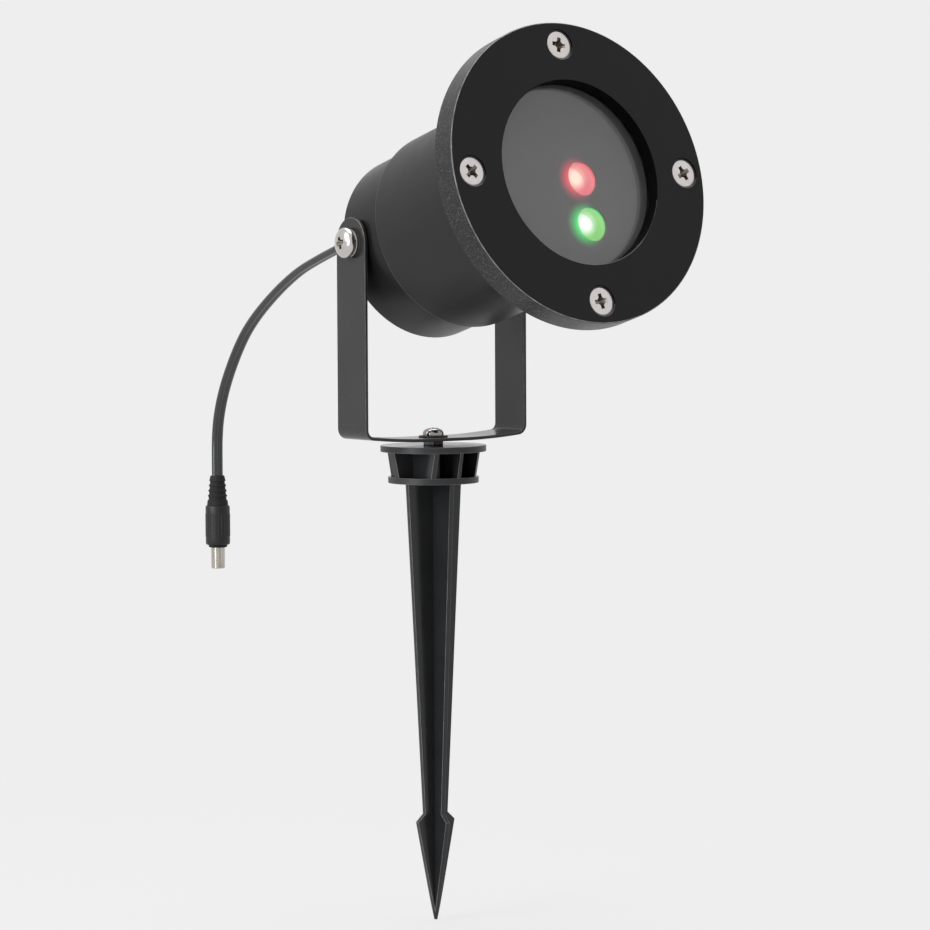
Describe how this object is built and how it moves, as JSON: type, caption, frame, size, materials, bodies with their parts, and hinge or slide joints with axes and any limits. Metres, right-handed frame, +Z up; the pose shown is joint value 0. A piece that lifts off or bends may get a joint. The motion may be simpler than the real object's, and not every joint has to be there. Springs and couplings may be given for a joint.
{
  "type": "garden light projector on a stake",
  "caption": "Round garden laser projector with a wide screwed bezel, held in a tilting yoke that pans on a barbed ground stake, with a short plugged power lead.",
  "frame": {"origin": "on the stake's axis at the soil line, 55 mm below the underside of the lower disc, with the barbed end of the blade in the ground", "axes": "+Z up along the stake, the light leaves towards -Y, the tilt axis runs along X"},
  "size_m": [0.108, 0.2607, 0.3267],
  "materials": {
    "stake_plastic": "black moulded plastic, satin with soft edge highlights",
    "brass": "turned brass",
    "stainless": "pale stainless steel",
    "chrome_screw": "bright plated steel",
    "black_steel": "blackened steel",
    "yoke_paint": "matt black powder coat",
    "can_paint": "satin black paint on cast aluminium",
    "bezel_paint": "satin black powder coat with a fine grain on cast aluminium",
    "rubber": "black rubber",
    "window_glass": "clear glass",
    "plate_grey": "mid grey matt paint",
    "aluminium": "machined aluminium",
    "red_optic": "lit red lens",
    "green_optic": "lit green lens",
    "board_green": "green circuit board",
    "chip_black": "black epoxy and ferrite",
    "capacitor_sleeve": "dark blue sleeve",
    "connector_ivory": "ivory nylon",
    "wire_red": "red insulation",
    "lead_pvc": "black PVC sheath",
    "gland_plastic": "black nylon"
  },
  "bodies": {
    "stake": {"ground_stake": "stake_plastic", "thread_insert": "brass", "pan_screw": "stainless", "pan_washer": "black_steel", "pan_nut": "black_steel"},
    "yoke": {"yoke": "yoke_paint", "power_lead": "lead_pvc", "plug_boot": "rubber", "plug_body": "gland_plastic", "plug_seal": "rubber", "plug_barrel": "stainless", "plug_insulator": "gland_plastic"},
    "head": {"tilt_screws": "chrome_screw", "lock_washers": "chrome_screw", "flat_washers": "chrome_screw", "friction_washers": "rubber", "front_tube": "can_paint", "rear_cap": "can_paint", "rear_seal": "rubber", "bezel": "bezel_paint", "bezel_screws": "stainless", "front_gasket": "rubber", "window_glass": "window_glass", "window_gasket": "rubber", "face_plate": "plate_grey", "laser_block": "aluminium", "red_laser": "brass", "green_laser": "brass", "red_lens": "red_optic", "green_lens": "green_optic", "red_grating": "red_optic", "green_grating": "green_optic", "set_screws": "black_steel", "board_standoffs": "brass", "driver_board": "board_green", "board_screws": "stainless", "input_capacitor": "capacitor_sleeve", "choke_coil": "chip_black", "driver_chips": "chip_black", "lead_connector": "connector_ivory", "laser_leads": "wire_red", "inner_lead": "lead_pvc", "gland_body": "gland_plastic", "gland_nut": "gland_plastic", "gland_seal": "rubber", "gland_cap": "gland_plastic", "lead_boot": "rubber"}
  },
  "joints": [
    {"name": "pan", "type": "hinge", "parent": "stake", "child": "yoke", "pos_m": [0, 0, 0.0705], "axis": [0, 0, 1], "range_deg": [-180, 180]},
    {"name": "tilt", "type": "hinge", "parent": "yoke", "child": "head", "pos_m": [0, 0, 0.1431], "axis": [-1, 0, 0], "range_deg": [-40, 75], "deforming": ["power_lead"]}
  ]
}
